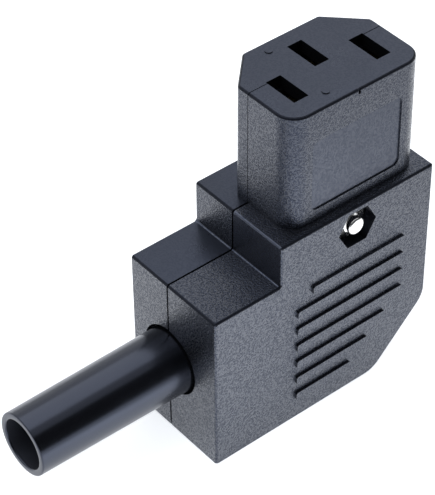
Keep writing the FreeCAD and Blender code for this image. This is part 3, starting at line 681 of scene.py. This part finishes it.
@dataclass
class HousingShell:
    """One moulded half of the housing: spark-textured, with smoother decks, mating face and panel, painted
    shade in its slots, sinks and dark edges, and painted highlight with wear on its lit edges.

    Lengths are in metres, angles in degrees, and level and rim_slope are parts of a unit normal.
    """

    half: Shell
    sharp_over: float = 50.0
    flat_under: float = 0.5
    level: float = 0.95
    rim_slope: float = 0.3
    face_height: float = 50.9 * MM
    deck_height: float = 26.4 * MM
    shoulder_low: float = 30.0 * MM
    shoulder_high: float = 33.2 * MM
    panel_low: float = 34.8 * MM
    panel_high: float = 46.5 * MM
    panel_side: float = 7.7 * MM
    panel_front: float = -8.0 * MM
    panel_floor: float = -8.17 * MM
    slot_side: float = 8.3 * MM
    slot_front: float = -5.3 * MM
    slot_rear: float = 4.5 * MM
    slot_low: float = 48.0 * MM
    pocket: float = 3.4 * MM
    rib_stand: float = 0.38 * MM
    rib_round: float = 0.32 * MM
    rib_segments: int = 4
    near: float = 0.01 * MM

    def is_rib_corner(self, edge: Edge, foot: float, crest: float) -> bool:
        """Whether an edge runs straight from the foot of a rib to its crest.

        Args:
            edge: An edge of the shell.
            foot: Where the ribs begin along Y.
            crest: Where they end along Y.

        Returns:
            True on the upright corners of the ribs.
        """
        start, end = (vert.co for vert in edge.verts)
        upright = abs(start.x - end.x) + abs(start.z - end.z) < self.near
        reached = zip(sorted((start.y, end.y)), sorted((foot, crest)))
        return upright and all(abs(there - wanted) < self.near for there, wanted in reached)

    def round_rib_corners(self, shape: Mesh) -> None:
        """Round the four upright corners of each grip rib.

        Args:
            shape: The shell's mesh, with flat faces in one piece.
        """
        node, way = self.half.value
        low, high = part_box(node)
        crest = high.y if way > 0 else low.y
        foot = crest - way * self.rib_stand
        corners = [edge for edge in shape.edges if self.is_rib_corner(edge, foot, crest)]
        round_edges(shape, corners, self.rib_round, self.rib_segments)
        log.info("%s: %d rib corners rounded", node, len(corners))

    def region(self, face: Face, screw: Vector) -> Region:
        """Which finish a face carries: a finish of the mould, painted shade, or painted highlight with wear.

        Args:
            face: A face of the shell.
            screw: A point on the closing screw's axis.

        Returns:
            The finish.
        """
        middle = face.calc_center_median()
        on_nose_end = middle.z > self.face_height
        on_edge = self.rim_slope < face.normal.z < self.level
        below_deck = middle.z < self.deck_height
        on_rear_shoulder = self.half is Shell.REAR and middle.z > self.shoulder_low
        faces_front = face.normal.y < -self.rim_slope
        # Edges that face the front, the nose end, the lower body and the rear shoulder are painted dark as
        # shade.
        on_painted_dark_edge = on_edge and (on_nose_end or below_deck or on_rear_shoulder or faces_front)
        if on_painted_dark_edge or self.is_painted_shade_wall(face, screw):
            return Region.PAINTED_SHADE
        # The other edges catch the light: painted highlight with wear.
        if on_edge:
            return Region.RUBBED_AND_HIGHLIT
        if face.normal.z > self.level and (on_nose_end or self.half is Shell.REAR):
            return Region.SATIN
        if self.is_fine(face):
            return Region.FINE
        return Region.SPARK

    def is_painted_shade_wall(self, face: Face, screw: Vector) -> bool:
        """Whether a face is a wall of a pin slot or of the screw's sinks, which is painted in shade.

        Args:
            face: A face of the shell.
            screw: A point on the closing screw's axis.

        Returns:
            True on those walls.
        """
        middle = face.calc_center_median()
        if math.hypot(middle.x - screw.x, middle.z - screw.z) < self.pocket:
            return abs(face.normal.y) < 1 - self.level
        over_slots = middle.z > self.slot_low and abs(middle.x) < self.slot_side
        in_slot = over_slots and self.slot_front < middle.y < self.slot_rear
        return in_slot and abs(face.normal.z) < 1 - self.level

    def is_fine(self, face: Face) -> bool:
        """Whether a face is the nose's sunk panel or the front half of the riser between the decks.

        Args:
            face: A face of the shell.

        Returns:
            True on those faces.
        """
        middle = face.calc_center_median()
        by_riser = self.half is Shell.FRONT and self.deck_height < middle.z < self.shoulder_high
        on_riser = by_riser and face.normal.x < -self.level
        by_panel = self.panel_low < middle.z < self.panel_high and abs(middle.x) < self.panel_side
        sunk = self.panel_floor < middle.y < self.panel_front
        on_panel = by_panel and sunk and face.normal.y < -self.level
        return on_riser or on_panel

    def dress(self, piece: Piece) -> None:
        """Give the shell its finishes and its shading.

        Args:
            piece: The shell.
        """
        for material in HOUSING_MATERIALS:
            piece.data.materials.append(material)
        weigh_normals(piece)

    def build(self) -> Piece:
        """Copy the shell, round its ribs and dress it.

        Returns:
            The piece.
        """
        node, _ = self.half.value
        shape = copy_of(node)
        bmesh.ops.dissolve_limit(
            shape, angle_limit=math.radians(self.flat_under), verts=shape.verts[:], edges=shape.edges[:]
        )
        self.round_rib_corners(shape)
        shape.normal_update()
        smooth_under(shape, self.sharp_over)
        screw = middle_of("closing_screw")
        for face in shape.faces:
            face.material_index = self.region(face, screw).value
        piece = finish_piece(node + "_moulding", shape, Slot.HOUSING, node)
        self.dress(piece)
        return piece


@dataclass
class CordSleeve:
    """Hollow tapered sleeve with a flange held inside the housing."""

    bore: float = 3.65 * MM
    wall: float = 1.0 * MM
    taper: float = 0.225 * MM
    flange_width: float = 2.0 * MM
    housing_wall: float = 1.8 * MM
    rim: float = 0.22 * MM
    steps: int = 96
    rounding: int = 4
    sharp_over: float = 40.0

    def turn(self, axis_height: float) -> Mesh:
        """Turn the sleeve's section round its axis.

        Args:
            axis_height: Height of the axis.

        Returns:
            The closed mesh, with sharp rims.
        """
        low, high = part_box("cord_guard")
        flange = (high.z - low.z) / 2
        inner_end = high.x - self.flange_width
        exit_face = inner_end - self.housing_wall
        tip_radius = self.bore + self.wall
        root = tip_radius + self.taper
        profile = (
            (low.x, self.bore),
            (low.x, tip_radius),
            (exit_face, root),
            (inner_end, root),
            (inner_end, flange),
            (high.x, flange),
            (high.x, self.bore),
        )
        shape = bmesh.new()
        verts, edges = closed_ring(shape, [(along, 0.0, axis_height + radius) for along, radius in profile])
        bmesh.ops.spin(
            shape, geom=verts + edges, cent=(0.0, 0.0, axis_height), axis=(1.0, 0.0, 0.0),
            angle=FULL_TURN, steps=self.steps, use_merge=True,
        )
        bmesh.ops.remove_doubles(shape, verts=shape.verts, dist=SAME_PLACE)
        bmesh.ops.recalc_face_normals(shape, faces=shape.faces)
        return shape

    def round_rim(self, shape: Mesh) -> None:
        """Round the inner and outer rim of the open end.

        Args:
            shape: The sleeve's mesh.
        """
        low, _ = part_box("cord_guard")
        bend = math.radians(self.sharp_over)
        around = [edge for edge in edges_at(shape, Axis.X, low.x) if edge.calc_face_angle() > bend]
        round_edges(shape, around, self.rim, self.rounding)

    def dress(self, piece: Piece) -> None:
        """Give the sleeve its outer finish, its bore's lighter finish, which is painted light, and its
        shading.

        Args:
            piece: The sleeve.
        """
        for finish in (SLEEVE, PAINTED_LIGHT_BORE):
            piece.data.materials.append(finish.material())
        weigh_normals(piece)

    def build(self) -> Piece:
        """Turn the sleeve, round its rim and dress it.

        Returns:
            The piece.
        """
        axis_height = middle_of("cord_guard").z
        shape = self.turn(axis_height)
        self.round_rim(shape)
        smooth_under(shape, self.sharp_over)
        # Faces inside the bore take the lighter bore finish: painted light.
        for face in shape.faces:
            middle = face.calc_center_median()
            face.material_index = int(math.hypot(middle.y, middle.z - axis_height) < self.bore)
        piece = finish_piece("cord_sleeve", shape, Slot.GUARD, "cord_guard")
        self.dress(piece)
        return piece


@dataclass
class ClosingScrew:
    """Pan-head screw whose threaded end shows in the nut pocket.

    Lengths are in metres, and crest and flank are shares of the thread's pitch.
    """

    radius: float = 1.5 * MM
    core: float = 1.24 * MM
    pitch: float = 0.5 * MM
    head_height: float = 2.0 * MM
    head_trim: float = 0.01 * MM
    trim_tolerance: float = 0.0001 * MM
    tip_radius: float = 1.36 * MM
    tip_length: float = 0.5 * MM
    tip_round: float = 0.42 * MM
    tip_segments: int = 5
    crest: float = 0.12
    flank: float = 0.38
    ridge_sink: float = 0.03 * MM
    free_turns: int = 1
    steps: int = 28
    sharp_over: float = 40.0

    def add_rod(self, shape: Mesh, axis: Vector, span: tuple[float, float], radius: float) -> None:
        """Add a closed rod along the screw's axis, rounded at its outer end.

        Args:
            shape: The mesh to add to.
            axis: A point on the screw's axis.
            span: Its outer and inner ends along Y.
            radius: Its radius.
        """
        start, end = span
        turned = Matrix.Rotation(QUARTER_TURN, 4, "X")
        place = Matrix.Translation((axis.x, (start + end) / 2, axis.z)) @ turned
        bmesh.ops.create_cone(
            shape, cap_ends=True, segments=self.steps * 2, radius1=radius, radius2=radius,
            depth=end - start, matrix=place,
        )
        round_edges(shape, edges_at(shape, Axis.Y, start), self.tip_round, self.tip_segments)

    def add_thread(self, shape: Mesh, axis: Vector, tip: float, seat: float) -> None:
        """Wind the thread's ridge round the core.

        Args:
            shape: The mesh to add to.
            axis: A point on the screw's axis.
            tip: Where the screw ends along Y.
            seat: Where its head begins.
        """
        start = tip + self.tip_length
        turns = int((seat - start) / self.pitch) - self.free_turns
        foot = self.core - self.ridge_sink
        section = (
            (foot, -self.flank),
            (self.radius, -self.crest / 2),
            (self.radius, self.crest / 2),
            (foot, self.flank),
        )
        first = start + self.pitch / 2
        points = [(axis.x + reach, first + along * self.pitch, axis.z) for reach, along in section]
        verts, edges = closed_ring(shape, points)
        shape.faces.new(verts)
        made = bmesh.ops.spin(
            shape, geom=verts + edges, cent=axis, axis=(0.0, 1.0, 0.0),
            dvec=(0.0, self.pitch / self.steps, 0.0), angle=FULL_TURN * turns, steps=self.steps * turns,
        )
        last = [item for item in made["geom_last"] if isinstance(item, Edge)]
        bmesh.ops.contextual_create(shape, geom=last)

    def cut_head(self, seat: float) -> Mesh:
        """Copy the screw's head without its shank.

        Args:
            seat: Where the head begins along Y.

        Returns:
            The closed head.
        """
        shape = copy_of("closing_screw")
        cut = bmesh.ops.bisect_plane(
            shape, geom=shape.verts[:] + shape.edges[:] + shape.faces[:], dist=self.trim_tolerance,
            plane_co=(0.0, seat + self.head_trim, 0.0), plane_no=(0.0, 1.0, 0.0), clear_inner=True,
        )
        rim = [item for item in cut["geom_cut"] if isinstance(item, Edge)]
        bmesh.ops.contextual_create(shape, geom=rim)
        return shape

    def build(self) -> Piece:
        """Build the head, core and thread, and dress them.

        Returns:
            The piece.
        """
        low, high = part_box("closing_screw")
        axis = Vector(((low.x + high.x) / 2, 0.0, (low.z + high.z) / 2))
        tip = low.y
        seat = high.y - self.head_height
        shape = self.cut_head(seat)
        self.add_rod(shape, axis, (tip, tip + self.tip_length), self.tip_radius)
        self.add_rod(shape, axis, (tip + self.tip_length / 2, seat), self.core)
        self.add_thread(shape, axis, tip, seat)
        bmesh.ops.recalc_face_normals(shape, faces=shape.faces)
        smooth_under(shape, self.sharp_over)
        piece = finish_piece("closing_screw_threaded", shape, Slot.STEEL, "closing_screw")
        piece.data.materials.append(STEEL_MATERIAL)
        return piece


@dataclass
class ClosingNut:
    """Chamfered hexagon nut in its pocket."""

    sharp_over: float = 20.0

    def build(self) -> Piece:
        """Copy the nut and dress it.

        Returns:
            The piece.
        """
        shape = copy_of("closing_nut")
        smooth_under(shape, self.sharp_over)
        piece = finish_piece("closing_nut_plated", shape, Slot.STEEL, "closing_nut")
        piece.data.materials.append(STEEL_MATERIAL)
        return piece


@dataclass
class InnerWorks:
    """Contacts, clamps and screws inside the housing, which keep their CAD shapes."""

    brass: tuple[str, ...] = ("line_contact", "neutral_contact", "earth_contact")
    steel: tuple[str, ...] = (
        "line_wire_clamp", "neutral_wire_clamp", "earth_wire_clamp", "terminal_screws", "clamp_screws"
    )
    moulded: tuple[str, ...] = ("cord_clamp",)

    def dress(self) -> None:
        """Give each inner node its finish."""
        for names, slot, material in (
            (self.brass, Slot.BRASS, BRASS.material()),
            (self.steel, Slot.STEEL, STEEL_MATERIAL),
            (self.moulded, Slot.MOULDING, INNER.material()),
        ):
            for name in names:
                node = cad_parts[name]
                node.data.materials.clear()
                node.data.materials.append(material)
                log.info("%s: %s", name, material.name)


@dataclass(frozen=True)
class SoftBox:
    """A rectangular studio light of a given glow, with the watts that a square metre of it needs."""

    name: str
    place: Triple
    size: tuple[float, float]
    aim: Triple
    glow: float
    tint: Colour = (0.985, 1.0, 1.02)
    watts_per_glow: float = 4.0

    def build(self) -> None:
        """Hang the light and turn it to the point that it faces."""
        lamp = bpy.data.lights.new(self.name, "AREA")
        lamp.shape = "RECTANGLE"
        lamp.size, lamp.size_y = self.size
        lamp.energy = self.watts_per_glow * lamp.size * lamp.size_y * self.glow
        lamp.color = self.tint
        light = bpy.data.objects.new(self.name, lamp)
        light.location = self.place
        light.rotation_euler = (Vector(self.aim) - light.location).to_track_quat("-Z", "Y").to_euler()
        bpy.context.scene.collection.objects.link(light)


@dataclass
class Studio:
    """Pale floor, soft light and the camera at the photograph's angle."""

    floor_side: float = 4.0
    floor_gap: float = 0.02 * MM
    sky: Colour = (0.97, 1.0, 1.04)
    sky_strength: float = 0.04
    backdrop: Colour = (0.93, 0.935, 0.94)
    camera_place: Triple = (-148.515 * MM, -162.722 * MM, 215.412 * MM)
    camera_forward: Triple = (0.4697, 0.5794, -0.6661)
    camera_right: Triple = (0.7725, -0.6349, -0.0075)
    focal_pixels: float = 2138.1
    long_side_pixels: float = 495.0
    sensor: float = 36.0
    nearest_seen: float = 10.0 * MM
    lights: tuple[SoftBox, ...] = (
        SoftBox("overhead", place=(0.1, 0.325, 0.8), size=(2.2, 0.95), aim=(0.1, 0.325, 0.0), glow=1.25),
        SoftBox("overhead_edge", place=(0.1, -0.35, 0.8), size=(2.2, 0.4), aim=(0.1, -0.35, 0.0), glow=0.4),
        SoftBox("back", place=(0.1, 0.8, 0.4), size=(2.2, 0.8), aim=(0.1, 0.0, 0.4), glow=0.6),
    )

    def build_floor(self) -> None:
        """Lay the floor under the resting face."""
        shape = bmesh.new()
        bmesh.ops.create_grid(shape, x_segments=1, y_segments=1, size=self.floor_side / 2)
        mesh = bpy.data.meshes.new("floor")
        shape.to_mesh(mesh)
        shape.free()
        floor = bpy.data.objects.new("floor", mesh)
        floor.location.z = CAD_BOX[0].z - self.floor_gap
        floor.data.materials.append(FLOOR.material())
        bpy.context.scene.collection.objects.link(floor)

    def build_sky(self) -> None:
        """Surround the scene with a faint even light, seen by the camera as a pale backdrop."""
        world = bpy.data.worlds.new("studio")
        world.use_nodes = True
        graph = Graph(world.node_tree)
        light = graph.add("Background", Color=opaque(self.sky), Strength=self.sky_strength)
        seen = graph.add("Background", Color=opaque(self.backdrop))
        either = graph.add("MixShader")
        graph.feed(either.inputs[0], graph.add("LightPath").outputs["Is Camera Ray"])
        graph.feed(either.inputs[1], light.outputs["Background"])
        graph.feed(either.inputs[2], seen.outputs["Background"])
        graph.add("OutputWorld", Surface=either.outputs["Shader"])
        bpy.context.scene.world = world

    def build_camera(self) -> None:
        """Set the camera as the photograph was taken."""
        lens = bpy.data.cameras.new("camera")
        lens.sensor_width = self.sensor
        lens.lens = self.focal_pixels / self.long_side_pixels * self.sensor
        lens.clip_start = self.nearest_seen
        camera = bpy.data.objects.new("camera", lens)
        back = -Vector(self.camera_forward).normalized()
        up = back.cross(Vector(self.camera_right)).normalized()
        right = up.cross(back)
        turn = Matrix((right, up, back)).transposed()
        camera.matrix_world = Matrix.Translation(self.camera_place) @ turn.to_4x4()
        bpy.context.scene.collection.objects.link(camera)
        bpy.context.scene.camera = camera

    def build(self) -> None:
        """Build the studio round the object."""
        self.build_floor()
        self.build_sky()
        for light in self.lights:
            light.build()
        self.build_camera()
        bpy.context.scene.view_settings.view_transform = "Standard"


def main() -> None:
    """Build the pieces, dress them and set the studio."""
    logging.basicConfig(level=logging.INFO)
    builders: tuple[Callable[[], Piece], ...] = (
        HousingShell(Shell.FRONT).build,
        HousingShell(Shell.REAR).build,
        CordSleeve().build,
        ClosingScrew().build,
        ClosingNut().build,
    )
    for build in builders:
        piece = build()
        log.info("%s: %d faces", piece.name, len(piece.data.polygons))
    InnerWorks().dress()
    Studio().build()


if __name__ == "__main__":
    main()
